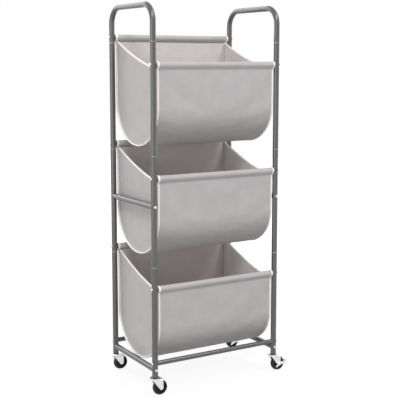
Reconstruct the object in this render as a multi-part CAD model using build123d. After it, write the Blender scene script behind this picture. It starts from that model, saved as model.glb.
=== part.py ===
from build123d import *
import math
import os

# Laundry sorter on wheels: two side frames of steel tube, three cloth sling bags hung on rods
# between them, and four swivel casters. Millimetres, Z up, the floor at Z = 0, the origin midway
# between the four uprights, the front of the sorter towards -Y.

# Tube of the side frames, and the thinner tube of the hanger rods and base crossbars
TUBE_OD = 19.0
TUBE_WALL = 1.0
ROD_OD = 16.0
ROD_WALL = 1.0

# Distance between the uprights' centrelines, side to side and front to back
SPAN_X = 465.0
SPAN_Y = 290.0

# Lengths along an upright: its lowest section, the two sections above, the arch over the last joint
LOWER_SECTION = 360.0
TIER_PITCH = 354.0
ARCH_RISE = 114.0
ARCH_BEND_R = 55.0

# Swaged spigot on top of each section, pushed up into the tube above
SPIGOT_LENGTH = 34.0
SPIGOT_CLEARANCE = 0.1
SPIGOT_SHOULDER = 2.0
JOINT_CHAMFER = 0.5

# Rods against the joint of their tier; rails and crossbars above the lower end of the uprights
FRONT_ROD_DROP = 71.0
REAR_ROD_RISE = 19.0
BASE_RAIL_RISE = 25.0
CROSSBAR_RISE = 45.0
MIDDLE_RAIL_RISE = 554.0

# Saddled ends of the rods, rails and crossbars
SADDLE_CLEARANCE = 0.1
SADDLE_TRIM = 4.0

# Screws through the uprights and the threaded plugs that they pull on
SCREW_D = 6.0
SCREW_BITE = 14.0
SCREW_HOLE_CLEARANCE = 0.2
SCREW_HEAD_D = 10.0
SCREW_HEAD_HEIGHT = 3.2
SCREW_HEAD_ROUND = 2.2
SCREW_SOCKET_D = 4.4
SCREW_SOCKET_DEPTH = 1.8
SCREW_SEAT_CLEARANCE = 0.05
PLUG_LENGTH = 20.0
PLUG_CLEARANCE = 0.05
THREAD_CLEARANCE = 0.05

# Sling bags
CLOTH = 2.0
BAG_END_GAP = 2.0
SEAM_WIDTH = 8.5
SEAM_CLEARANCE = 0.05
BAG_DROP = 262.0
BAG_ROUND = 130.0
SLEEVE_CLEARANCE = 0.3
SLEEVE_HEIGHT = 15.0
RIM_SAG = 11.0

# Casters, from the floor up
WHEEL_D = 50.0
WHEEL_WIDTH = 18.0
TREAD_CROWN = 3.5
RIM_DEPTH = 8.0
WEB_THICKNESS = 8.0
HUB_D = 16.0
CASTER_TRAIL = 17.0
AXLE_D = 6.0
AXLE_HEAD_D = 10.0
AXLE_HEAD_HEIGHT = 2.2
RUNNING_CLEARANCE = 0.05
HUB_CLEARANCE = 0.4
FORK_SIDE_CLEARANCE = 1.0
FORK_TOP_CLEARANCE = 2.0
FORK_SHEET = 1.6
FORK_BEND_R = 3.0
FORK_DISC_D = 34.0
FORK_LEG_END_R = 7.0
FORK_LEG_FRONT = 13.0
KING_PIN_D = 10.0
RIVET_HEAD_D = 14.0
RIVET_HEAD_HEIGHT = 1.4
RIVET_CLEARANCE = 0.1
BALL_D = 3.2
BALL_COUNT = 14
BALL_PITCH_D = 24.0
BALL_CLEARANCE = 0.05
CUP_D = 37.0
CUP_SHEET = 1.5
CUP_SKIRT_CLEARANCE = 0.6
CUP_ROUND = 1.4
STEM_D = 8.0
STEM_LENGTH = 17.0
SOCKET_FLANGE = 2.0
SOCKET_DEPTH = 19.0
SOCKET_CLEARANCE = 0.1

# Brake lever on the right-hand casters
LEVER_SHEET = 1.6
LEVER_CLEARANCE = 0.2
LEVER_HUB_D = 16.0
LEVER_ARM_WIDTH = 10.0
LEVER_ANGLE = 5.0
LEVER_RIM_CLEARANCE = 2.0
LEVER_TAB = 13.0
LEVER_PEDAL = 7.0
LEVER_TOE = 16.5
LEVER_TOE_WIDTH = 8.0
LEVER_TOE_ANGLE = 224.0

# Heights that follow from the casters and the tube lengths
AXLE_Z = WHEEL_D / 2
FORK_UNDER_Z = WHEEL_D + FORK_TOP_CLEARANCE
FORK_TOP_Z = FORK_UNDER_Z + FORK_SHEET
CUP_UNDER_Z = FORK_TOP_Z + BALL_D + 2 * BALL_CLEARANCE
CUP_TOP_Z = CUP_UNDER_Z + CUP_SHEET
FOOT_Z = CUP_TOP_Z + SOCKET_FLANGE
JOINT_Z = [FOOT_Z + LOWER_SECTION + tier * TIER_PITCH for tier in range(3)]
ARCH_Z = JOINT_Z[2] + ARCH_RISE
FRONT_ROD_Z = [joint - FRONT_ROD_DROP for joint in JOINT_Z]
REAR_ROD_Z = [joint + REAR_ROD_RISE for joint in JOINT_Z]
BASE_RAIL_Z = FOOT_Z + BASE_RAIL_RISE
CROSSBAR_Z = FOOT_Z + CROSSBAR_RISE
MIDDLE_RAIL_Z = FOOT_Z + MIDDLE_RAIL_RISE

# Radii and half widths that several pieces share
TUBE_R = TUBE_OD / 2
TUBE_BORE_R = TUBE_R - TUBE_WALL
SPIGOT_R = TUBE_BORE_R - SPIGOT_CLEARANCE
ROD_R = ROD_OD / 2
UPRIGHT_X = SPAN_X / 2
UPRIGHT_Y = SPAN_Y / 2
FORK_INNER_Y = WHEEL_WIDTH / 2 + FORK_SIDE_CLEARANCE
FORK_OUTER_Y = FORK_INNER_Y + FORK_SHEET
BAG_LENGTH = SPAN_X - TUBE_OD - 2 * BAG_END_GAP
SLING_X = BAG_LENGTH / 2

SIDES = {"left": -1, "right": 1}
ENDS = {"front": -1, "rear": 1}
TIERS = ["lower", "middle", "top"]
SECTIONS = ["lower", "middle", "upper"]
LINE_X = Rotation(0, 90, 0)
LINE_Y = Rotation(90, 0, 0)


def round_z(radius, low, high):
    """A round bar on the Z axis between two heights."""
    return Pos(0, 0, (low + high) / 2) * Cylinder(radius, high - low)


def round_x(radius, length):
    """A round bar on the X axis, centred."""
    return LINE_X * Cylinder(radius, length)


def round_y(radius, length):
    """A round bar on the Y axis, centred."""
    return LINE_Y * Cylinder(radius, length)


def turned(points):
    """A solid turned about the Z axis from an outline of (radius, height) points."""
    outline = Plane.XZ * make_face(Polyline(*points, close=True))
    return revolve(outline, axis=Axis.Z)


def group(solids):
    """Like pieces kept together as separate solids."""
    return Compound(children=list(solids))


# Uprights and arches

def rod_heights(end):
    """Heights of the hanger rods on the front or rear uprights."""
    return FRONT_ROD_Z if end == "front" else REAR_ROD_Z


def screw_holes(end):
    """The holes drilled through an upright on the Z axis: for rods and crossbar, then for rails."""
    radius = SCREW_D / 2 + SCREW_HOLE_CLEARANCE
    through = TUBE_OD + 2 * SCREW_HEAD_HEIGHT
    holes = [Pos(0, 0, z) * round_x(radius, through) for z in [*rod_heights(end), CROSSBAR_Z]]
    holes += [Pos(0, 0, z) * round_y(radius, through) for z in (BASE_RAIL_Z, MIDDLE_RAIL_Z)]
    return holes


def upright_section(low, high, end):
    """One tube of an upright, narrowed at its top to the spigot that enters the tube above."""
    narrow_r = SPIGOT_R - TUBE_WALL
    section = turned([
        (TUBE_BORE_R, low),
        (TUBE_R - JOINT_CHAMFER, low),
        (TUBE_R, low + JOINT_CHAMFER),
        (TUBE_R, high - JOINT_CHAMFER),
        (TUBE_R - JOINT_CHAMFER, high),
        (SPIGOT_R, high),
        (SPIGOT_R, high + SPIGOT_LENGTH),
        (narrow_r, high + SPIGOT_LENGTH),
        (narrow_r, high - SPIGOT_SHOULDER),
        (TUBE_BORE_R, high - SPIGOT_SHOULDER),
    ])
    return section - screw_holes(end)


def top_arch():
    """The bent tube that joins the front and rear uprights of one side at the top."""
    path = FilletPolyline(
        (0, -UPRIGHT_Y, JOINT_Z[2]),
        (0, -UPRIGHT_Y, ARCH_Z),
        (0, UPRIGHT_Y, ARCH_Z),
        (0, UPRIGHT_Y, JOINT_Z[2]),
        radius=ARCH_BEND_R,
    )
    ring = Plane(origin=path @ 0, z_dir=path % 0) * (Circle(TUBE_R) - Circle(TUBE_BORE_R))
    arch = sweep(ring, path=path)
    for end, sign in ENDS.items():
        arch -= [Pos(0, sign * UPRIGHT_Y, 0) * hole for hole in screw_holes(end)]
    return arch


# Rods, crossbars and rails, with their plugs and screws

def saddle_cut(length):
    """The round of an upright that a tube's end is cut to sit against."""
    return Cylinder(TUBE_R + SADDLE_CLEARANCE, length)


def cross_tube():
    """A thin tube on the X axis from the left uprights to the right ones."""
    tube = round_x(ROD_R, SPAN_X - 2 * SADDLE_TRIM) - round_x(ROD_R - ROD_WALL, SPAN_X)
    return tube - [Pos(sign * UPRIGHT_X, 0, 0) * saddle_cut(2 * ROD_OD) for sign in SIDES.values()]


def side_rail():
    """A frame tube on the Y axis from a front upright to the rear one."""
    tube = round_y(TUBE_R, SPAN_Y - 2 * SADDLE_TRIM) - round_y(TUBE_BORE_R, SPAN_Y)
    return tube - [Pos(0, sign * UPRIGHT_Y, 0) * saddle_cut(2 * TUBE_OD) for sign in ENDS.values()]


def end_plug(bore_r):
    """A threaded plug below the XY plane, in the end of a tube with that bore."""
    plug = round_z(bore_r - PLUG_CLEARANCE, -PLUG_LENGTH, 0)
    return plug - round_z(SCREW_D / 2 + THREAD_CLEARANCE, -PLUG_LENGTH, 0)


def screw():
    """A round-headed screw on the Z axis with its head standing on the XY plane."""
    head = round_z(SCREW_HEAD_D / 2, 0, SCREW_HEAD_HEIGHT)
    head = fillet(head.edges().group_by(Axis.Z)[-1], SCREW_HEAD_ROUND)
    shank_end = SCREW_SEAT_CLEARANCE + TUBE_OD + SADDLE_CLEARANCE + SCREW_BITE
    socket = extrude(RegularPolygon(SCREW_SOCKET_D / 2, 6), SCREW_SOCKET_DEPTH)
    socket = Pos(0, 0, SCREW_HEAD_HEIGHT - SCREW_SOCKET_DEPTH) * socket
    return head + round_z(SCREW_D / 2, -shank_end, 0) - socket


def outward_x(sign):
    """Turns the Z axis to point out of the left or right side."""
    return Rotation(0, sign * 90, 0)


def outward_y(sign):
    """Turns the Z axis to point out of the front or rear."""
    return Rotation(-sign * 90, 0, 0)


HEAD_SEAT = TUBE_R + SCREW_SEAT_CLEARANCE
PLUG_SEAT = -(TUBE_R + SADDLE_CLEARANCE)


def across_screws(places):
    """Screws through the uprights along X, at the (Y, Z) places given, from both sides."""
    return [
        Pos(sign * (UPRIGHT_X + HEAD_SEAT), y, z) * outward_x(sign) * screw()
        for y, z in places
        for sign in SIDES.values()
    ]


def across_plugs(places):
    """Plugs in both ends of the thin tubes at the (Y, Z) places given."""
    return [
        Pos(sign * (UPRIGHT_X + PLUG_SEAT), y, z) * outward_x(sign) * end_plug(ROD_R - ROD_WALL)
        for y, z in places
        for sign in SIDES.values()
    ]


def rail_fittings(piece, seat):
    """A screw or plug at each end of the four side rails."""
    return [
        Pos(side * UPRIGHT_X, end * (UPRIGHT_Y + seat), z) * outward_y(end) * piece
        for side in SIDES.values()
        for end in ENDS.values()
        for z in (BASE_RAIL_Z, MIDDLE_RAIL_Z)
    ]


# Bags: a sling of cloth over a front and a rear rod, with a flat panel sewn in near each end

def bag_outline(grow, front_z, rear_z, bottom_z, rim):
    """The bag seen from the side, grown outwards: straight walls over half an ellipse, under a rim."""
    half_y = UPRIGHT_Y + grow
    round_z0 = bottom_z + BAG_ROUND
    edges = [
        Line((-half_y, front_z), (-half_y, round_z0)),
        EllipticalCenterArc((0, round_z0), half_y, BAG_ROUND + grow, 180, arc_size=180),
        Line((half_y, round_z0), (half_y, rear_z)),
        rim(half_y),
    ]
    return Plane.YZ * make_face(edges)


def sleeve(rod_z, sign):
    """The hem that wraps a rod and narrows to the stitch line below it."""
    outer_r = ROD_R + SLEEVE_CLEARANCE + CLOTH
    turn = math.acos(outer_r / SLEEVE_HEIGHT)
    flank_y = outer_r * math.sin(turn)
    flank_z = -outer_r * math.cos(turn)
    wedge = make_face(Polyline(
        (-flank_y, flank_z), (flank_y, flank_z), (CLOTH / 2, -SLEEVE_HEIGHT), (-CLOTH / 2, -SLEEVE_HEIGHT),
        close=True,
    ))
    hem = Plane.YZ * (Pos(sign * UPRIGHT_Y, rod_z) * (Circle(outer_r) + wedge))
    return extrude(hem, SLING_X, both=True)


def bag_sling(tier):
    """The long panel of a bag, from sleeve to sleeve under the laundry."""
    front_z, rear_z = FRONT_ROD_Z[tier], REAR_ROD_Z[tier]
    bottom_z = front_z - BAG_DROP

    def shape(grow, raised):
        def rim(half_y):
            return Line((half_y, rear_z + raised), (-half_y, front_z + raised))

        return bag_outline(grow, front_z + raised, rear_z + raised, bottom_z, rim)

    outside = shape(CLOTH / 2, 0)
    inside = shape(-CLOTH / 2, ROD_OD)
    sling = extrude(outside, SLING_X, both=True) - extrude(inside, BAG_LENGTH, both=True)
    rods = []
    for sign, rod_z in ((-1, front_z), (1, rear_z)):
        sling += sleeve(rod_z, sign)
        rods.append(Pos(0, sign * UPRIGHT_Y, rod_z) * round_x(ROD_R + SLEEVE_CLEARANCE, SPAN_X))
    return sling - rods


def bag_end(tier, sign):
    """The flat panel that closes one end of a bag, with its rim sagging from rear to front."""
    front_z = FRONT_ROD_Z[tier] - SLEEVE_HEIGHT
    rear_z = REAR_ROD_Z[tier] - SLEEVE_HEIGHT
    bottom_z = FRONT_ROD_Z[tier] - BAG_DROP

    def sagging_rim(half_y):
        middle = (0, (front_z + rear_z) / 2 - RIM_SAG)
        return ThreePointArc((half_y, rear_z), middle, (-half_y, front_z))

    panel = bag_outline(-CLOTH / 2 - SEAM_CLEARANCE, front_z, rear_z, bottom_z, sagging_rim)
    return Pos(sign * (SLING_X - SEAM_WIDTH - CLOTH / 2), 0, 0) * extrude(panel, CLOTH / 2, both=True)


# Casters, each built about its swivel axis with the wheel trailing towards +X

def caster_socket():
    """The plug in the foot of an upright that takes the caster's stem."""
    socket = round_z(TUBE_BORE_R - SOCKET_CLEARANCE, CUP_TOP_Z, FOOT_Z + SOCKET_DEPTH)
    socket += round_z(TUBE_R, CUP_TOP_Z, FOOT_Z)
    return socket - round_z(STEM_D / 2 + THREAD_CLEARANCE, CUP_TOP_Z, FOOT_Z + SOCKET_DEPTH)


def caster_stem():
    """The threaded stem, with the king pin and the rivet head that hold the fork."""
    head_top = FORK_UNDER_Z - RIVET_CLEARANCE
    stem = round_z(STEM_D / 2, CUP_UNDER_Z, FOOT_Z + STEM_LENGTH)
    stem += round_z(KING_PIN_D / 2, head_top, CUP_UNDER_Z)
    return stem + round_z(RIVET_HEAD_D / 2, head_top - RIVET_HEAD_HEIGHT, head_top)


def race_cup():
    """The pressed cup over the balls, clamped between king pin and socket."""
    cup = round_z(CUP_D / 2, FORK_TOP_Z + CUP_SKIRT_CLEARANCE, CUP_TOP_Z)
    cup = fillet(cup.edges().group_by(Axis.Z)[-1], CUP_ROUND)
    cup -= round_z(CUP_D / 2 - CUP_SHEET, FORK_TOP_Z, CUP_UNDER_Z)
    return cup - round_z(STEM_D / 2 + THREAD_CLEARANCE, CUP_UNDER_Z, CUP_TOP_Z)


def bearing_balls():
    """The ring of balls between the cup and the fork."""
    place = PolarLocations(BALL_PITCH_D / 2, BALL_COUNT)
    ball = Pos(0, 0, FORK_TOP_Z + BALL_CLEARANCE + BALL_D / 2) * Sphere(BALL_D / 2)
    return [spot * ball for spot in place]


def tangent_point(point, centre, radius, side):
    """Where a line from the point touches a circle, on its left (+1) or right (-1) as seen from it."""
    away_x, away_z = point[0] - centre[0], point[1] - centre[1]
    turn = side * math.acos(radius / math.hypot(away_x, away_z))
    angle = math.atan2(away_z, away_x) + turn
    return centre[0] + radius * math.cos(angle), centre[1] + radius * math.sin(angle)


def caster_fork():
    """The pressed fork: a disc under the balls and two tapered legs down to the axle."""
    hub = (CASTER_TRAIL, AXLE_Z)
    leg_back = CASTER_TRAIL + FORK_LEG_END_R
    front_corner = (-FORK_LEG_FRONT, FORK_TOP_Z)
    front_touch = tangent_point(front_corner, hub, FORK_LEG_END_R, 1)
    leg_bottom = (CASTER_TRAIL, AXLE_Z - FORK_LEG_END_R)
    side_view = Plane.XZ * make_face([
        Line(front_corner, front_touch),
        ThreePointArc(front_touch, leg_bottom, (leg_back, AXLE_Z)),
        Line((leg_back, AXLE_Z), (leg_back, FORK_TOP_Z)),
        Line((leg_back, FORK_TOP_Z), front_corner),
    ])
    outer = Rectangle(2 * FORK_OUTER_Y, 2 * FORK_TOP_Z)
    outer = fillet(outer.vertices().group_by(Axis.Y)[-1], FORK_BEND_R)
    inner = Rectangle(2 * FORK_INNER_Y, 2 * FORK_UNDER_Z)
    inner = fillet(inner.vertices().group_by(Axis.Y)[-1], FORK_BEND_R - FORK_SHEET)
    channel = extrude(Plane.YZ * (outer - inner), FORK_LEG_FRONT + leg_back, both=True)
    fork = channel & extrude(side_view, 2 * FORK_OUTER_Y, both=True)
    fork += round_z(FORK_DISC_D / 2, FORK_UNDER_Z, FORK_TOP_Z)
    fork -= round_z(KING_PIN_D / 2 + RUNNING_CLEARANCE, 0, FORK_TOP_Z)
    return fork - Pos(CASTER_TRAIL, 0, AXLE_Z) * round_y(AXLE_D / 2 + RUNNING_CLEARANCE, 4 * FORK_OUTER_Y)


def caster_wheel():
    """The moulded wheel: hub, thin web, and a rim with a crowned tread."""
    bore_r = AXLE_D / 2 + RUNNING_CLEARANCE
    hub_y = FORK_INNER_Y - HUB_CLEARANCE
    web_y = WEB_THICKNESS / 2
    rim_y = WHEEL_WIDTH / 2
    tread_r = WHEEL_D / 2
    edge_r = tread_r - TREAD_CROWN
    rim_r = tread_r - RIM_DEPTH
    section = make_face([
        Polyline(
            (edge_r, rim_y), (rim_r, rim_y), (rim_r, web_y), (HUB_D / 2, web_y), (HUB_D / 2, hub_y),
            (bore_r, hub_y), (bore_r, -hub_y), (HUB_D / 2, -hub_y), (HUB_D / 2, -web_y),
            (rim_r, -web_y), (rim_r, -rim_y), (edge_r, -rim_y),
        ),
        ThreePointArc((edge_r, -rim_y), (tread_r, 0), (edge_r, rim_y)),
    ])
    return Pos(CASTER_TRAIL, 0, AXLE_Z) * revolve(section, axis=Axis.Y)


def axle_reach(braked):
    """How far the axle's near head stands from the wheel's middle: past the lever where there is one."""
    lever = LEVER_SHEET + LEVER_CLEARANCE if braked else 0
    return FORK_OUTER_Y + lever + LEVER_CLEARANCE


def caster_axle(braked):
    """The riveted axle through the fork and the wheel, its near end towards -Y."""
    head = round_z(AXLE_HEAD_D / 2, 0, AXLE_HEAD_HEIGHT)
    head = fillet(head.edges().group_by(Axis.Z)[-1], AXLE_HEAD_HEIGHT / 2)
    near_y = axle_reach(braked)
    far_y = axle_reach(False)
    axle = round_z(AXLE_D / 2, -far_y, near_y) + Pos(0, 0, near_y) * head
    axle += Pos(0, 0, -far_y) * Rotation(180, 0, 0) * head
    return Pos(CASTER_TRAIL, 0, AXLE_Z) * outward_y(-1) * axle


def brake_lever():
    """The stamped lever on the near end of the axle, with its tab bent over the tread as a pedal."""
    reach = WHEEL_D / 2 + LEVER_RIM_CLEARANCE
    arm_end = reach + LEVER_SHEET
    arm = Rot(0, 0, LEVER_ANGLE) * Pos(arm_end / 2, 0) * Rectangle(arm_end, LEVER_ARM_WIDTH)
    toe = Rot(0, 0, LEVER_TOE_ANGLE) * Pos(LEVER_TOE / 2, 0) * SlotOverall(LEVER_TOE, LEVER_TOE_WIDTH)
    plate = Circle(LEVER_HUB_D / 2) + arm + toe - Circle(AXLE_D / 2 + RUNNING_CLEARANCE)
    near_y = FORK_OUTER_Y + LEVER_CLEARANCE
    lever = Pos(0, 0, near_y) * extrude(plate, LEVER_SHEET)
    tab_z = near_y + LEVER_SHEET - LEVER_TAB / 2
    tab = Pos(reach + LEVER_SHEET / 2, 0, tab_z) * Box(LEVER_SHEET, LEVER_ARM_WIDTH, LEVER_TAB)
    pedal_x = reach + LEVER_PEDAL / 2
    pedal_y = (LEVER_ARM_WIDTH - LEVER_SHEET) / 2
    pedal = Pos(pedal_x, pedal_y, tab_z) * Box(LEVER_PEDAL, LEVER_SHEET, LEVER_TAB)
    lever += Rot(0, 0, LEVER_ANGLE) * (tab + pedal)
    return Pos(CASTER_TRAIL, 0, AXLE_Z) * outward_y(-1) * lever


# Every piece in its place, by the name of its node

pieces = {}

for side, x_sign in SIDES.items():
    at_side = Pos(x_sign * UPRIGHT_X, 0, 0)
    pieces[f"{side}_top_arch"] = at_side * top_arch()
    pieces[f"{side}_middle_rail"] = at_side * Pos(0, 0, MIDDLE_RAIL_Z) * side_rail()
    pieces[f"{side}_base_rail"] = at_side * Pos(0, 0, BASE_RAIL_Z) * side_rail()
    for end, y_sign in ENDS.items():
        at_upright = Pos(x_sign * UPRIGHT_X, y_sign * UPRIGHT_Y, 0)
        lows = [FOOT_Z, *JOINT_Z]
        for number, name in enumerate(SECTIONS):
            tube = upright_section(lows[number], lows[number + 1], end)
            pieces[f"{name}_{end}_{side}_upright"] = at_upright * tube

for end, y_sign in ENDS.items():
    pieces[f"{end}_crossbar"] = Pos(0, y_sign * UPRIGHT_Y, CROSSBAR_Z) * cross_tube()
    for tier, rod_z in zip(TIERS, rod_heights(end)):
        pieces[f"{tier}_{end}_rod"] = Pos(0, y_sign * UPRIGHT_Y, rod_z) * cross_tube()

rod_places = [(-UPRIGHT_Y, z) for z in FRONT_ROD_Z] + [(UPRIGHT_Y, z) for z in REAR_ROD_Z]
crossbar_places = [(-UPRIGHT_Y, CROSSBAR_Z), (UPRIGHT_Y, CROSSBAR_Z)]
pieces["rod_plugs"] = group(across_plugs(rod_places + crossbar_places))
pieces["rail_plugs"] = group(rail_fittings(end_plug(TUBE_BORE_R), PLUG_SEAT))
pieces["rod_screws"] = group(across_screws(rod_places))
pieces["crossbar_screws"] = group(across_screws(crossbar_places))
pieces["rail_screws"] = group(rail_fittings(screw(), HEAD_SEAT))

for number, tier in enumerate(TIERS):
    pieces[f"{tier}_bag_sling"] = bag_sling(number)
    for side, x_sign in SIDES.items():
        pieces[f"{tier}_bag_{side}_end"] = bag_end(number, x_sign)

corners = {
    f"{end}_{side}": Pos(x_sign * UPRIGHT_X, y_sign * UPRIGHT_Y, 0)
    for end, y_sign in ENDS.items()
    for side, x_sign in SIDES.items()
}
pieces["caster_sockets"] = group(at * caster_socket() for at in corners.values())
pieces["caster_stems"] = group(at * caster_stem() for at in corners.values())
pieces["caster_race_cups"] = group(at * race_cup() for at in corners.values())
pieces["caster_balls"] = group(at * ball for at in corners.values() for ball in bearing_balls())
for corner, at in corners.items():
    braked = corner.endswith("right")
    pieces[f"{corner}_fork"] = at * caster_fork()
    pieces[f"{corner}_axle"] = at * caster_axle(braked)
    pieces[f"{corner}_wheel"] = at * caster_wheel()
    if braked:
        pieces[f"{corner}_brake_lever"] = at * brake_lever()

os.makedirs("parts", exist_ok=True)
for name, piece in pieces.items():
    export_step(piece, f"parts/{name}.step")
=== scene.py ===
import bpy
import bmesh
import math
from mathutils import Matrix, Vector, noise


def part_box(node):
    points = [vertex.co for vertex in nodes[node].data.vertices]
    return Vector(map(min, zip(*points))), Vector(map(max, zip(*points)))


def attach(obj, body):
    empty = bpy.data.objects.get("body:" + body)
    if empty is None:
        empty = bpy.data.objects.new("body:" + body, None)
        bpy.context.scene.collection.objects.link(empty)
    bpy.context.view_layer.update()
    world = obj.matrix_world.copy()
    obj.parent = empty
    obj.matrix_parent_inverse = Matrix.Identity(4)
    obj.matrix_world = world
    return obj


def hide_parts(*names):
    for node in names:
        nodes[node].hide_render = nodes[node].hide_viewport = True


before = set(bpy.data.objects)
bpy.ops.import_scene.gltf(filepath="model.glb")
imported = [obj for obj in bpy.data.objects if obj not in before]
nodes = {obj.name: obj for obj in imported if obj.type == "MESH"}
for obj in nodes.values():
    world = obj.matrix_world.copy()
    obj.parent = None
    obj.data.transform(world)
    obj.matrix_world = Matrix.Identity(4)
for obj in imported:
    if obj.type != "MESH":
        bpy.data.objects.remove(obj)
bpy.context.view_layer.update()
scene = bpy.context.scene
scene.view_settings.view_transform = "Standard"

# Viewpoint: the camera stands in front and to the left of the sorter, at chest height,
# and looks slightly down at it through a short telephoto lens.
camera_lens = bpy.data.cameras.new("viewpoint")
camera_lens.sensor_width = 36.0
camera_lens.lens = 81.15
camera_lens.shift_y = -0.038
viewpoint = bpy.data.objects.new("viewpoint", camera_lens)
viewpoint.location = (-1.544, -2.613, 1.066)
viewpoint.rotation_euler = (math.radians(82.23), 0.0, math.radians(-30.946))
scene.collection.objects.link(viewpoint)
scene.camera = viewpoint


# Studio: a pale floor that fades into a white surround, two soft lamps high up in front, a large
# low one on either side, a very large one behind, and even light from all round.
def seen_ray(tree):
    """1 for what the camera, a gloss or a clear material sees, 0 for the light that falls on things."""
    path = tree.nodes.new("ShaderNodeLightPath")
    seen = path.outputs["Is Camera Ray"]
    for ray in ("Is Glossy Ray", "Is Transmission Ray"):
        either = tree.nodes.new("ShaderNodeMath")
        either.operation = "MAXIMUM"
        tree.links.new(seen, either.inputs[0])
        tree.links.new(path.outputs[ray], either.inputs[1])
        seen = either.outputs[0]
    return seen


surround = bpy.data.worlds.new("surround")
surround.use_nodes = True
tree = surround.node_tree
sky = tree.nodes["Background"]
sky.inputs["Color"].default_value = (1.0, 1.0, 1.0, 1.0)
level = tree.nodes.new("ShaderNodeMapRange")
level.inputs["To Min"].default_value = 0.56
level.inputs["To Max"].default_value = 1.0
tree.links.new(seen_ray(tree), level.inputs["Value"])
tree.links.new(level.outputs["Result"], sky.inputs["Strength"])
scene.world = surround


def soft_lamp(name, place, aim, width, watts):
    """A square soft box at a place, turned to a point."""
    light = bpy.data.lights.new(name, "AREA")
    light.size = width
    light.energy = watts
    lamp = bpy.data.objects.new(name, light)
    lamp.location = place
    lamp.rotation_euler = (Vector(aim) - Vector(place)).to_track_quat("-Z", "Y").to_euler()
    scene.collection.objects.link(lamp)


soft_lamp("left_lamp", (-3.6, -1.2, 1.0), (0.0, 0.0, 0.5), 2.2, 36.0)
soft_lamp("right_lamp", (3.5, 0.7, 0.9), (0.0, 0.0, 0.6), 2.2, 26.0)
soft_lamp("high_left_lamp", (-2.8, -4.3, 5.1), (0.0, 0.0, 0.4), 1.7, 154.0)
soft_lamp("high_right_lamp", (2.2, -3.0, 5.0), (0.0, 0.0, 0.4), 2.0, 114.0)
soft_lamp("back_lamp", (-0.7, 3.2, 2.1), (0.0, 0.0, 0.6), 3.6, 86.0)

floor_radius = 7.0
floor_shape = bmesh.new()
bmesh.ops.create_circle(floor_shape, cap_ends=True, radius=floor_radius, segments=96)
floor_mesh = bpy.data.meshes.new("floor")
floor_shape.to_mesh(floor_mesh)
floor_shape.free()
floor = bpy.data.objects.new("floor", floor_mesh)
scene.collection.objects.link(floor)

floor_paint = bpy.data.materials.new("floor_paint")
floor_paint.use_nodes = True
tree = floor_paint.node_tree
tree.nodes.clear()
place = tree.nodes.new("ShaderNodeTexCoord")
spread = tree.nodes.new("ShaderNodeVectorMath")
spread.operation = "LENGTH"
tree.links.new(place.outputs["Object"], spread.inputs[0])
fade = tree.nodes.new("ShaderNodeMapRange")
fade.interpolation_type = "SMOOTHSTEP"
fade.inputs["From Min"].default_value = 0.7
fade.inputs["From Max"].default_value = 1.9
fade.inputs["To Min"].default_value = 0.70
fade.inputs["To Max"].default_value = 1.0
tree.links.new(spread.outputs["Value"], fade.inputs["Value"])
shown = tree.nodes.new("ShaderNodeMath")
shown.operation = "MULTIPLY"
tree.links.new(fade.outputs["Result"], shown.inputs[0])
tree.links.new(seen_ray(tree), shown.inputs[1])
matt = tree.nodes.new("ShaderNodeBsdfDiffuse")
matt.inputs["Color"].default_value = (0.42, 0.42, 0.42, 1.0)
glow = tree.nodes.new("ShaderNodeEmission")
glow.inputs["Strength"].default_value = 1.24
both = tree.nodes.new("ShaderNodeMixShader")
tree.links.new(shown.outputs[0], both.inputs["Fac"])
tree.links.new(matt.outputs[0], both.inputs[1])
tree.links.new(glow.outputs[0], both.inputs[2])
surface = tree.nodes.new("ShaderNodeOutputMaterial")
tree.links.new(both.outputs[0], surface.inputs["Surface"])
floor_mesh.materials.append(floor_paint)


# Frame tubes: uprights in three pushed-together sections, arches, rails, hanger rods and
# crossbars, all of thin round steel tube, sprayed in a satin grey with a fine metal fleck.
def plain_finish(name, rough, metal, gloss=0.5):
    """A new finish with its constant values on the shader itself."""
    finish = bpy.data.materials.new(name)
    finish.use_nodes = True
    shader = finish.node_tree.nodes["Principled BSDF"]
    shader.inputs["Roughness"].default_value = rough
    shader.inputs["Metallic"].default_value = metal
    shader.inputs["Specular IOR Level"].default_value = gloss
    return finish, finish.node_tree, shader


def speckle(tree, scale, detail, source="Object", stretch=None):
    """Noise on the piece's own coordinates, drawn out along an axis where stretch is given."""
    place = tree.nodes.new("ShaderNodeTexCoord")
    grain = tree.nodes.new("ShaderNodeTexNoise")
    grain.inputs["Scale"].default_value = scale
    grain.inputs["Detail"].default_value = detail
    spot = place.outputs[source]
    if stretch:
        turn = tree.nodes.new("ShaderNodeMapping")
        turn.inputs["Scale"].default_value = stretch
        tree.links.new(spot, turn.inputs["Vector"])
        spot = turn.outputs["Vector"]
    tree.links.new(spot, grain.inputs["Vector"])
    return grain.outputs["Fac"]


def shades(tree, value, dark, light, low=0.35, high=0.65):
    """A value turned into a run between two colours."""
    ramp = tree.nodes.new("ShaderNodeValToRGB")
    ramp.color_ramp.elements[0].position = low
    ramp.color_ramp.elements[0].color = (*dark, 1.0)
    ramp.color_ramp.elements[1].position = high
    ramp.color_ramp.elements[1].color = (*light, 1.0)
    tree.links.new(value, ramp.inputs["Fac"])
    return ramp.outputs["Color"]


def span(tree, value, low, high):
    """A value from 0 to 1 turned into a number between two others."""
    reach = tree.nodes.new("ShaderNodeMapRange")
    reach.inputs["To Min"].default_value = low
    reach.inputs["To Max"].default_value = high
    tree.links.new(value, reach.inputs["Value"])
    return reach.outputs["Result"]


def dimple(tree, shader, value, depth, strength):
    """Relief on a surface from a value, a given depth in metres."""
    bump = tree.nodes.new("ShaderNodeBump")
    bump.inputs["Distance"].default_value = depth
    bump.inputs["Strength"].default_value = strength
    tree.links.new(value, bump.inputs["Height"])
    tree.links.new(bump.outputs["Normal"], shader.inputs["Normal"])


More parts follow.
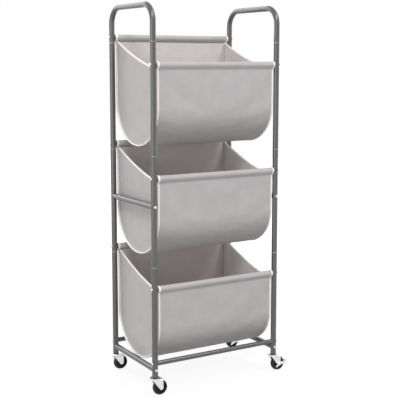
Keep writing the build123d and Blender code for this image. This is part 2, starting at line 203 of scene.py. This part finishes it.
def dress(names, finish):
    """Gives CAD nodes their finish."""
    for name in names:
        for slot in nodes[name].material_slots:
            slot.material = finish


spigot_length = 0.034
joint_line_half = 0.0008  # half the height of the pale grey line coloured round each joint, lighter than the paint

frame_paint, tree, shader = plain_finish("frame_paint", 0.3, 0.35, 0.9)
fleck = speckle(tree, 1400.0, 1.0)
tone = shades(tree, fleck, (0.071, 0.071, 0.071), (0.102, 0.102, 0.102), 0.3, 0.7)
# At the height of each joint a pale grey band is coloured into the paint's base colour.
joint_place = tree.nodes.new("ShaderNodeTexCoord")
joint_split = tree.nodes.new("ShaderNodeSeparateXYZ")
tree.links.new(joint_place.outputs["Object"], joint_split.inputs["Vector"])
joint_lines = None
for name in ("lower", "middle", "upper"):
    joint_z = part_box(f"{name}_front_left_upright")[1].z - spigot_length
    joint_band = tree.nodes.new("ShaderNodeMath")
    joint_band.operation = "COMPARE"
    joint_band.inputs[1].default_value = joint_z
    joint_band.inputs[2].default_value = joint_line_half
    tree.links.new(joint_split.outputs["Z"], joint_band.inputs[0])
    if joint_lines is None:
        joint_lines = joint_band.outputs[0]
    else:
        total = tree.nodes.new("ShaderNodeMath")
        total.operation = "ADD"
        tree.links.new(joint_lines, total.inputs[0])
        tree.links.new(joint_band.outputs[0], total.inputs[1])
        joint_lines = total.outputs[0]
# A Mix node set to RGBA has its factor in input 0, its colours in 6 and 7 and its result in output 2.
joint_edge = tree.nodes.new("ShaderNodeMix")
joint_edge.data_type = "RGBA"
joint_edge.inputs[7].default_value = (0.42, 0.42, 0.42, 1.0)
tree.links.new(joint_lines, joint_edge.inputs[0])
tree.links.new(tone, joint_edge.inputs[6])
tree.links.new(joint_edge.outputs[2], shader.inputs["Base Color"])
tree.links.new(span(tree, speckle(tree, 60.0, 3.0), 0.24, 0.35), shader.inputs["Roughness"])
dimple(tree, shader, speckle(tree, 420.0, 2.0), 0.0004, 0.12)

frame_tubes = [n for n in nodes if n.endswith(("_upright", "_arch", "_rail", "_rod", "_crossbar"))]
dress(frame_tubes, frame_paint)

# Plugs and screws: the threaded plugs in the tube ends are plain turned steel, and the
# round-headed screws that pull the tubes together are bright zinc plated.
plain_steel, tree, shader = plain_finish("plain_steel", 0.42, 1.0)
tone = shades(tree, speckle(tree, 240.0, 3.0), (0.40, 0.40, 0.39), (0.52, 0.52, 0.51))
tree.links.new(tone, shader.inputs["Base Color"])
dress(["rod_plugs", "rail_plugs"], plain_steel)

screw_zinc, tree, shader = plain_finish("screw_zinc", 0.26, 1.0)
tone = shades(tree, speckle(tree, 300.0, 3.0), (0.54, 0.54, 0.53), (0.68, 0.68, 0.67))
tree.links.new(tone, shader.inputs["Base Color"])
tree.links.new(span(tree, speckle(tree, 500.0, 2.0), 0.2, 0.34), shader.inputs["Roughness"])
dress(["rod_screws", "crossbar_screws", "rail_screws"], screw_zinc)

# Casters: a plastic socket in the foot of each upright holds a steel stem. Cup and fork are pressed
# from zinc plated sheet and turn on steel balls, the black moulded wheel runs on a riveted axle, and
# the right-hand pair has a stamped brake lever.
socket_plastic, tree, shader = plain_finish("socket_plastic", 0.5, 0.0)
tone = shades(tree, speckle(tree, 90.0, 3.0), (0.020, 0.020, 0.021), (0.034, 0.034, 0.035))
tree.links.new(tone, shader.inputs["Base Color"])
dimple(tree, shader, speckle(tree, 1500.0, 1.0), 0.0002, 0.2)
dress(["caster_sockets"], socket_plastic)
dress(["caster_stems", "caster_balls"], plain_steel)

caster_zinc, tree, shader = plain_finish("caster_zinc", 0.3, 1.0)
tone = shades(tree, speckle(tree, 160.0, 4.0), (0.66, 0.67, 0.67), (0.82, 0.82, 0.81))
tree.links.new(tone, shader.inputs["Base Color"])
tree.links.new(span(tree, speckle(tree, 260.0, 3.0), 0.22, 0.42), shader.inputs["Roughness"])
dimple(tree, shader, speckle(tree, 700.0, 2.0), 0.0002, 0.1)
corners = ["front_left", "front_right", "rear_left", "rear_right"]
dress(["caster_race_cups"], caster_zinc)
dress([f"{corner}_fork" for corner in corners], caster_zinc)
dress([f"{corner}_axle" for corner in corners], caster_zinc)
dress(["front_right_brake_lever", "rear_right_brake_lever"], caster_zinc)

wheel_black, tree, shader = plain_finish("wheel_black", 0.48, 0.0, 0.25)
tone = shades(tree, speckle(tree, 130.0, 4.0), (0.008, 0.008, 0.009), (0.016, 0.016, 0.017))
tree.links.new(tone, shader.inputs["Base Color"])
tree.links.new(span(tree, speckle(tree, 220.0, 3.0), 0.40, 0.58), shader.inputs["Roughness"])
dimple(tree, shader, speckle(tree, 1800.0, 1.0), 0.0003, 0.25)
dress([f"{corner}_wheel" for corner in corners], wheel_black)

# Bag cloth: each sling is one length of stout woven polyester. A hem at each end is turned
# over a hanger rod and stitched below it, and the middle hangs in a round U between the rods.
cloth_thick = 0.0012
cad_cloth_half = 0.001
cloth_step = 0.0056  # between the rows of the mesh, along the sling
cloth_column = 0.008  # between its columns, from end to end of the bag
cloth_edge = 0.0005  # the sling stops this far inside the edge of its CAD solid
stitch_drops = {"front": 0.015, "rear": 0.0118}  # from the middle of a rod down to its hem's seam
hem_tail = 0.002  # cloth past the seam, inside the bag
hem_radius = 0.0098
hem_steps = 40
hem_lay = 0.0008  # of either layer from the middle of the seam
hem_hang = 0.0009  # of the hem's round below the middle of the rod
hem_run = 0.012  # below the seam, over which the sling comes free of its hem
edge_pull = 0.0025  # how far the sides of the sling are drawn in below the hems
bag_round = 0.130  # height of the round bottom
round_steps = 80
ripple_deep = 0.0010
ripple_waves = (9.0, 8.0)  # to the metre, across the sling and along it
ripple_edge = 0.06  # from an end panel, over which the ripple grows
ripple_shifts = {"lower": 3.1, "middle": 11.7, "top": 23.4}
fine_deep = 0.0004
fine_waves = (40.0, 30.0)
fine_shift = 5.0
sling_spare = 0.0002  # spare length that lets the cloth hang, as a share
settle_frames = 14
thread_pitch = 0.0011


def woven(name, dark, light):
    """Plain weave on the cut map of a cloth: crossing threads, slubs and a soft mottle."""
    finish, tree, shader = plain_finish(name, 0.82, 0.0, 0.25)
    shader.inputs["Sheen Weight"].default_value = 0.12
    shader.inputs["Sheen Roughness"].default_value = 0.5
    cloth_map = tree.nodes.new("ShaderNodeTexCoord")
    split = tree.nodes.new("ShaderNodeSeparateXYZ")
    tree.links.new(cloth_map.outputs["UV"], split.inputs["Vector"])
    weave = tree.nodes.new("ShaderNodeMath")
    weave.operation = "MULTIPLY"
    for number, run in enumerate(("X", "Y")):
        turn = tree.nodes.new("ShaderNodeMath")
        turn.operation = "MULTIPLY"
        turn.inputs[1].default_value = math.pi / thread_pitch
        tree.links.new(split.outputs[run], turn.inputs[0])
        wave = tree.nodes.new("ShaderNodeMath")
        wave.operation = "SINE"
        tree.links.new(turn.outputs[0], wave.inputs[0])
        tree.links.new(wave.outputs[0], weave.inputs[number])
    dimple(tree, shader, weave.outputs[0], 0.00025, 0.35)
    cloud = tree.nodes.new("ShaderNodeMix")
    cloud.inputs["Factor"].default_value = 0.55
    tree.links.new(speckle(tree, 1.0, 3.0, "UV", (900.0, 120.0, 1.0)), cloud.inputs["A"])
    tree.links.new(speckle(tree, 26.0, 4.0, "UV"), cloud.inputs["B"])
    tone = shades(tree, cloud.outputs["Result"], dark, light, 0.3, 0.7)
    tree.links.new(tone, shader.inputs["Base Color"])
    return finish


bag_cloth = woven("bag_cloth", (0.443, 0.420, 0.424), (0.501, 0.476, 0.480))
# The inside face of the same cloth is coloured lighter and warmer than the outside: painted light
# standing in for light through the thin cloth and bounced round inside the bag.
bag_inside_painted_light = woven("bag_inside_painted_light", (0.612, 0.572, 0.570), (0.685, 0.641, 0.638))


def ease(value, low, high):
    """0 below low, 1 above high, smooth between."""
    t = min(1.0, max(0.0, (value - low) / (high - low)))
    return t * t * (3.0 - 2.0 * t)


def wrinkle(across, along, waves, shift):
    """Noise over a cloth, with its waves to the metre each way. Each shift gives another pattern."""
    return noise.noise(Vector((across * waves[0], along * waves[1], shift)))


def bag_sizes(tier):
    """Where the rods, the bottom and the end panels of one bag are, from the CAD nodes."""
    sizes = {}
    for end in ("front", "rear"):
        low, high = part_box(f"{tier}_{end}_rod")
        sizes[end] = (low.z + high.z) / 2
        sizes[f"{end}_y"] = (low.y + high.y) / 2
        sizes[f"{end}_stitch"] = sizes[end] - stitch_drops[end]
    low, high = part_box(f"{tier}_bag_sling")
    sizes["half_x"] = high.x - cloth_edge
    sizes["bottom"] = low.z + cad_cloth_half
    sizes["half_y"] = sizes["rear_y"]
    sizes["round"] = sizes["bottom"] + bag_round
    low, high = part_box(f"{tier}_bag_right_end")
    sizes["panel_x"] = (low.x + high.x) / 2
    return sizes


def hem_points(sizes, end):
    """One hem seen from the end, from the tail inside the bag over the rod to the outer stitch."""
    y = sizes[f"{end}_y"]
    stitch = sizes[f"{end}_stitch"]
    centre = sizes[end] - hem_hang
    turn = math.acos(hem_radius / (centre - stitch))
    way = 1.0 if y < 0 else -1.0
    points = [(y + way * hem_lay, stitch - hem_tail), (y + way * hem_lay, stitch)]
    for step in range(hem_steps + 1):
        angle = turn + (2 * math.pi - 2 * turn) * step / hem_steps
        points.append((y + way * hem_radius * math.sin(angle), centre - hem_radius * math.cos(angle)))
    points.append((y - way * hem_lay, stitch))
    return points


def sling_section(sizes):
    """The sling seen from the end: points at equal steps along the cloth and their outward normals,
    the cloth's length, and how far along it the front and rear seams are."""
    front = hem_points(sizes, "front")
    rear = hem_points(sizes, "rear")[::-1]
    belly = []
    for step in range(round_steps + 1):
        angle = math.pi * step / round_steps
        belly.append((
            -sizes["half_y"] * math.cos(angle),
            sizes["round"] - bag_round * math.sin(angle),
        ))
    line = [Vector(p) for p in front + belly + rear]
    run = [0.0]
    for a, b in zip(line, line[1:]):
        run.append(run[-1] + (b - a).length)
    rows = round(run[-1] / cloth_step)
    spots = []
    k = 0
    for row in range(rows + 1):
        s = run[-1] * row / rows
        while k < len(run) - 2 and run[k + 1] < s:
            k += 1
        spots.append(line[k].lerp(line[k + 1], (s - run[k]) / (run[k + 1] - run[k])))
    outward = []
    for row in range(rows + 1):
        along = (spots[min(row + 1, rows)] - spots[max(row - 1, 0)]).normalized()
        outward.append(Vector((along.y, -along.x)))
    return spots, outward, run[-1], run[len(front) - 1], run[len(front) + len(belly)]


def below_hems(section, row):
    """1 where the sling hangs free, 0 at its hems."""
    spots, _, length, stitch_front, stitch_rear = section
    s = length * row / (len(spots) - 1)
    past_front = ease(s, stitch_front, stitch_front + hem_run)
    return past_front * (1 - ease(s, stitch_rear - hem_run, stitch_rear))


def cloth_sheet(across, along, width, length, place):
    """A grid of cloth with its cut size as its UV map, laid by a rule from (u, v) to a point."""
    sheet = bmesh.new()
    bmesh.ops.create_grid(sheet, x_segments=across, y_segments=along, size=0.5)
    cut = sheet.loops.layers.uv.new("cut")
    for face in sheet.faces:
        for loop in face.loops:
            loop[cut].uv = ((loop.vert.co.x + 0.5) * width, (loop.vert.co.y + 0.5) * length)
    held = []
    sheet.verts.index_update()
    for vert in sheet.verts:
        vert.co, fixed = place(vert.co.x + 0.5, vert.co.y + 0.5)
        if fixed:
            held.append(vert.index)
    return sheet, held


def face_outward(shape, middle):
    """Turns all the faces of an open sheet away from a point inside the bag."""
    bmesh.ops.recalc_face_normals(shape, faces=shape.faces)
    if sum(face.normal.dot(face.calc_center_median() - middle) for face in shape.faces) < 0:
        bmesh.ops.reverse_faces(shape, faces=shape.faces)


def new_piece(name, shape, finish):
    """A bmesh kept as an object that rides on the frame."""
    mesh = bpy.data.meshes.new(name)
    shape.to_mesh(mesh)
    shape.free()
    for face in mesh.polygons:
        face.use_smooth = True
    mesh.materials.append(finish)
    piece = bpy.data.objects.new(name, mesh)
    scene.collection.objects.link(piece)
    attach(piece, "frame")
    return piece


def settle(piece, held, spare):
    """Lets a cloth piece hang from the points that are held, with a share of spare length."""
    pins = piece.vertex_groups.new(name="held")
    pins.add(held, 1.0, "REPLACE")
    hang = piece.modifiers.new("settle", "CLOTH")
    rule = hang.settings
    rule.vertex_group_mass = "held"
    rule.quality = 6
    rule.mass = 0.02
    rule.tension_stiffness = 40.0
    rule.compression_stiffness = 40.0
    rule.shear_stiffness = 20.0
    rule.bending_stiffness = 30.0
    rule.air_damping = 4.0
    rule.shrink_min = -spare
    rule.shrink_max = -spare
    hang.collision_settings.use_collision = False
    hang.point_cache.frame_start = 1
    hang.point_cache.frame_end = settle_frames
    for number in range(1, settle_frames + 1):
        scene.frame_set(number)
    hung = piece.evaluated_get(bpy.context.evaluated_depsgraph_get())
    spots = [v.co.copy() for v in hung.data.vertices]
    piece.modifiers.remove(hang)
    piece.vertex_groups.remove(pins)
    for vert, spot in zip(piece.data.vertices, spots):
        vert.co = spot
    scene.frame_set(1)


def thicken(piece):
    """Rounds a settled cloth piece and gives it its thickness. Its inside face takes a lighter, warmer
    colour, painted light for the light through the cloth and bounced inside.
    """
    smooth = piece.modifiers.new("round", "SUBSURF")
    smooth.levels = 1
    smooth.render_levels = 1
    wall = piece.modifiers.new("thickness", "SOLIDIFY")
    wall.thickness = cloth_thick
    wall.offset = 0.0
    wall.material_offset = 1
    piece.data.materials.append(bag_inside_painted_light)


def sling_piece(tier, sizes):
    """The sling of one bag."""
    section = sling_section(sizes)
    spots, outward, length, stitch_front, stitch_rear = section
    rows = len(spots) - 1
    half_x = sizes["half_x"]
    shift = ripple_shifts[tier]

    def place(u, v):
        """A point of the sling, and whether a seam holds it."""
        row = round(v * rows)
        s = length * row / rows
        below = below_hems(section, row)
        x = (2 * u - 1) * (half_x - edge_pull * below)
        free = below * ease(sizes["panel_x"] - abs(x), 0.0, ripple_edge)
        ripple = ripple_deep * free * wrinkle(x, s, ripple_waves, shift)
        ripple += fine_deep * wrinkle(x, s, fine_waves, shift + fine_shift)
        y, z = spots[row] + outward[row] * ripple
        fixed = s <= stitch_front or s >= stitch_rear or abs(x) > sizes["panel_x"]
        return Vector((x, y, z)), fixed

    columns = round(2 * half_x / cloth_column)
    sheet, held = cloth_sheet(columns, rows, 2 * half_x, length, place)
    face_outward(sheet, Vector((0.0, 0.0, sizes["round"])))
    piece = new_piece(f"{tier}_bag_sling_cloth", sheet, bag_cloth)
    settle(piece, held, sling_spare)
    thicken(piece)
    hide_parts(f"{tier}_bag_sling")
    return piece, 2 * half_x, length


# Bag ends: a flat panel of the same cloth closes each end of a sling, its edge turned out and
# sewn flat to the inside of the sling. Its upper rim runs down from the rear rod to the front one.
rim_sag = 0.011  # of the rim's middle below a straight line
rim_touch = 1e-5
seam_lay = 0.0013  # of the panel's turned edge inside the sling
seam_turn = 0.0030  # radius of the turn
seam_steps = 3
swell_deep = 0.0015
swell_waves = (9.0, 7.0)  # to the metre, along the panel and up it
swell_edge = 0.05  # from the seam, over which the swell grows
swell_shifts = {"lower": 41.0, "middle": 57.3, "top": 73.9}
side_shift = 3.7
end_columns = 44
end_rows = 40
end_border = 0.001
end_spare = 0.0003


def end_rim(sizes, y):
    """Height of the rim of an end panel."""
    share = (y + sizes["half_y"]) / (2 * sizes["half_y"])
    straight = sizes["front_stitch"] + (sizes["rear_stitch"] - sizes["front_stitch"]) * share
    return straight - rim_sag * (1 - (2 * share - 1) ** 2)


def end_piece(tier, side, sizes):
    """One end panel of a bag, with its seam turned out along the sling."""
    sign = -1 if side == "left" else 1
    half_y = sizes["half_y"] - seam_lay - seam_turn
    deep = bag_round - seam_lay - seam_turn
    shift = swell_shifts[tier] + sign * side_shift

    def place(u, v):
        """A point of the panel, and whether its border holds it."""
        turn = (u - 0.5) * math.pi
        y = half_y * math.sin(turn)
        low = sizes["round"] - deep * math.cos(turn)
        z = low + (end_rim(sizes, y) - low) * v
        reach = abs(y) / half_y
        if z < sizes["round"]:
            reach = math.hypot(y / half_y, (sizes["round"] - z) / deep)
        soft = ease((1 - reach) * half_y, 0.0, swell_edge)
        swell = swell_deep * soft * wrinkle(y, z, swell_waves, shift)
        fixed = min(u, v) < end_border or max(u, v) > 1 - end_border
        return Vector((sign * (sizes["panel_x"] + swell), y, z)), fixed

    def sideways(spot):
        """The way from a point on the panel's edge to the sling."""
        below = min(0.0, spot.z - sizes["round"])
        return Vector((0.0, spot.y / half_y ** 2, below / deep ** 2)).normalized()

    def on_rim(edge):
        """Whether an edge of the panel lies along its upper rim."""
        return all(abs(vert.co.z - end_rim(sizes, vert.co.y)) < rim_touch for vert in edge.verts)

    tall = sizes["rear"] - sizes["bottom"]
    sheet, held = cloth_sheet(end_columns, end_rows, 2 * half_y, tall, place)
    cut = sheet.loops.layers.uv.active
    flat = {vert: vert.co.yz for vert in sheet.verts}
    ring = [edge for edge in sheet.edges if edge.is_boundary and not on_rim(edge)]
    bends = [math.pi / 2 * step / seam_steps for step in range(seam_steps + 1)]
    moves = [
        (seam_turn * (math.cos(a) - math.cos(b)), seam_turn * (math.sin(b) - math.sin(a)))
        for a, b in zip(bends, bends[1:])
    ]
    moves.append((sizes["half_x"] - edge_pull - sizes["panel_x"] - seam_turn, 0.0))
    inside = len(sheet.verts)
    turned = 0.0
    for out, aside in moves:
        grown = bmesh.ops.extrude_edge_only(sheet, edges=ring)["geom"]
        fresh = {part for part in grown if isinstance(part, bmesh.types.BMVert)}
        lines = [part for part in grown if isinstance(part, bmesh.types.BMEdge)]
        ring = [line for line in lines if fresh.issuperset(line.verts)]
        turned += math.hypot(out, aside) - aside
        for vert in fresh:
            way = sideways(vert.co)
            vert.co += way * aside + Vector((sign * out, 0.0, 0.0))
            flat[vert] = vert.co.yz + way.yz * turned
    held += range(inside, len(sheet.verts))
    for face in sheet.faces:
        for loop in face.loops:
            loop[cut].uv = flat[loop.vert]
    area = sum(face.calc_area() for face in sheet.faces)
    face_outward(sheet, Vector((0.0, 0.0, sizes["round"])))
    piece = new_piece(f"{tier}_bag_{side}_end_cloth", sheet, bag_cloth)
    settle(piece, held, end_spare)
    thicken(piece)
    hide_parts(f"{tier}_bag_{side}_end")
    seam = 2 * (sizes["half_x"] - edge_pull - sizes["panel_x"])
    return piece, 2 * half_y + seam, tall + seam / 2, area


# Binding: pale woven tape, folded over the raw edges and sewn through. It runs along both sides
# of the sling, where it also takes in the end panels, and along the rims of the end panels.
tape_leg = 0.0064  # how far either leg reaches in over the cloth
tape_seam = 0.0054  # the same along the seams
tape_lip = 0.0009  # how far the fold stands past the raw edge
tape_half = 0.0012  # of either leg from the middle of the fold
seam_half = 0.0018  # the same along the seams, with two layers inside
tape_flat = 0.016
tape_thick = 0.0005
tape_steps = 10
rim_steps = 56
slope_step = 0.001

tape_white, tree, shader = plain_finish("tape_white", 0.8, 0.0, 0.25)
shader.inputs["Sheen Weight"].default_value = 0.1
rib = speckle(tree, 1.0, 2.0, "UV", (150.0, 1300.0, 1.0))
tone = shades(tree, rib, (0.84, 0.83, 0.80), (0.92, 0.91, 0.88), 0.3, 0.7)
tree.links.new(tone, shader.inputs["Base Color"])
dimple(tree, shader, rib, 0.0003, 0.3)


def folded(share, inner, tip, thick):
    """A point across a folded tape: in along one leg, round the tip and back along the other."""
    straight = tip - inner - thick
    bend = math.pi * thick
    t = share * (2 * straight + bend)
    if t < straight:
        return inner + t, thick
    if t > straight + bend:
        return inner + 2 * straight + bend - t, -thick
    angle = (t - straight) / thick
    return tip - thick + thick * math.sin(angle), thick * math.cos(angle)


def tape_along(shape, stations, sections):
    """Adds a folded tape through stations, each a point with the tape's width and thickness ways."""
    strip = bmesh.new()
    count = len(stations) - 1
    bmesh.ops.create_grid(strip, x_segments=tape_steps, y_segments=count, size=0.5)
    cut = strip.loops.layers.uv.new("cut")
    for face in strip.faces:
        for loop in face.loops:
            loop[cut].uv = (loop.vert.co.x * tape_flat, loop.vert.co.y * count * cloth_step)
    for vert in strip.verts:
        k = round((vert.co.y + 0.5) * count)
        spot, wide, thick = stations[k]
        a, b = folded(vert.co.x + 0.5, *sections[k])
        vert.co = spot + wide * a + thick * b
    bmesh.ops.recalc_face_normals(strip, faces=strip.faces)
    part = bpy.data.meshes.new("tape_part")
    strip.to_mesh(part)
    strip.free()
    shape.from_mesh(part)
    bpy.data.meshes.remove(part)


def seam_stations(sizes, sign):
    """The tape along one side of the sling, thicker where the end panel's seam is inside it."""
    section = sling_section(sizes)
    side = Vector((sign, 0.0, 0.0))
    stations, sections = [], []
    for row, (spot, out) in enumerate(zip(*section[:2])):
        below = below_hems(section, row)
        x = sign * (sizes["half_x"] - edge_pull * below)
        y, z = spot - out * seam_lay / 2 * below
        stations.append((Vector((x, y, z)), side, Vector((0.0, *out))))
        leg = tape_leg + (tape_seam - tape_leg) * below
        sections.append((-leg, tape_lip, tape_half + (seam_half - tape_half) * below))
    return stations, sections


def rim_stations(sizes, sign):
    """The tape over the rim of an end panel, from the front seam to the rear one."""
    half_y = sizes["half_y"] - seam_lay
    stations, sections = [], []
    for step in range(rim_steps + 1):
        y = half_y * (2 * step / rim_steps - 1)
        rise = end_rim(sizes, y + slope_step) - end_rim(sizes, y - slope_step)
        slope = rise / (2 * slope_step)
        up = Vector((0.0, -slope, 1.0)).normalized()
        spot = Vector((sign * sizes["panel_x"], y, end_rim(sizes, y)))
        stations.append((spot, up, Vector((sign, 0.0, 0.0))))
        sections.append((-tape_leg, tape_lip, tape_half))
    return stations, sections


def bag_tape(tier, sizes):
    """All the binding of one bag."""
    shape = bmesh.new()
    for sign in (-1, 1):
        tape_along(shape, *seam_stations(sizes, sign))
        tape_along(shape, *rim_stations(sizes, sign))
    piece = new_piece(f"{tier}_bag_binding", shape, tape_white)
    wall = piece.modifiers.new("thickness", "SOLIDIFY")
    wall.thickness = tape_thick
    wall.offset = 0.0
    return piece


# Stitching: polyester thread, in a row near the inner edge of all the binding and in a row
# along each hem below its rod. Each stitch is a short bead pulled into the cloth.
stitch_pitch = 0.0042
stitch_long = 0.0031
stitch_thick = 0.0009
stitch_edge = 0.0016  # of a row from the inner edge of the tape
stitch_lift = 0.0002

thread_grey, tree, shader = plain_finish("thread_grey", 0.6, 0.0, 0.3)
tone = shades(tree, speckle(tree, 700.0, 2.0), (0.55, 0.53, 0.52), (0.66, 0.64, 0.62))
tree.links.new(tone, shader.inputs["Base Color"])


def sew(shape, points, normals):
    """Stitches at equal steps along a line of points on a surface with the normals given."""
    run = [0.0]
    for a, b in zip(points, points[1:]):
        run.append(run[-1] + (b - a).length)
    k = 0
    for number in range(int(run[-1] / stitch_pitch)):
        s = (number + 0.5) * stitch_pitch
        while run[k + 1] < s:
            k += 1
        share = (s - run[k]) / (run[k + 1] - run[k])
        along = (points[k + 1] - points[k]).normalized()
        across = normals[k].lerp(normals[k + 1], share).cross(along).normalized()
        turn = Matrix((along, across, along.cross(across))).transposed().to_4x4()
        size = Matrix.Diagonal((stitch_long / 2, stitch_thick / 2, stitch_thick / 2, 1.0))
        spot = Matrix.Translation(points[k].lerp(points[k + 1], share))
        bmesh.ops.create_icosphere(shape, subdivisions=1, radius=1.0, matrix=spot @ turn @ size)


def sew_tape(shape, stations, sections, face):
    """A row of stitches on the outer (1) or inner (-1) face of a tape, near its inner edge."""
    points, normals = [], []
    for (spot, wide, thick), (inner, tip, half) in zip(stations, sections):
        points.append(spot + wide * (inner + stitch_edge) + thick * face * (half + stitch_lift))
        normals.append(thick * face)
    sew(shape, points, normals)


def bag_stitches(tier, sizes):
    """All the stitching of one bag."""
    shape = bmesh.new()
    for sign in (-1, 1):
        sew_tape(shape, *seam_stations(sizes, sign), 1)
        for face in (-1, 1):
            sew_tape(shape, *rim_stations(sizes, sign), face)
    inside = sizes["panel_x"]
    for end, way in (("front", -1), ("rear", 1)):
        y = sizes[f"{end}_y"] + way * (hem_lay + cloth_thick / 2)
        row = [Vector((x, y, sizes[f"{end}_stitch"])) for x in (-inside, inside)]
        sew(shape, row, [Vector((0.0, way, 0.0))] * 2)
    piece = new_piece(f"{tier}_bag_stitches", shape, thread_grey)
    return piece


# The three bags: each is sewn up from its sling, its two ends, the binding and the thread, and hangs
# by its hems on the front rod and the higher rear rod of its tier.
for tier in ("lower", "middle", "top"):
    sizes = bag_sizes(tier)
    sling, sling_width, sling_length = sling_piece(tier, sizes)
    sewn = [bag_tape(tier, sizes), bag_stitches(tier, sizes)]
    for side in ("left", "right"):
        panel, wide, tall, area = end_piece(tier, side, sizes)
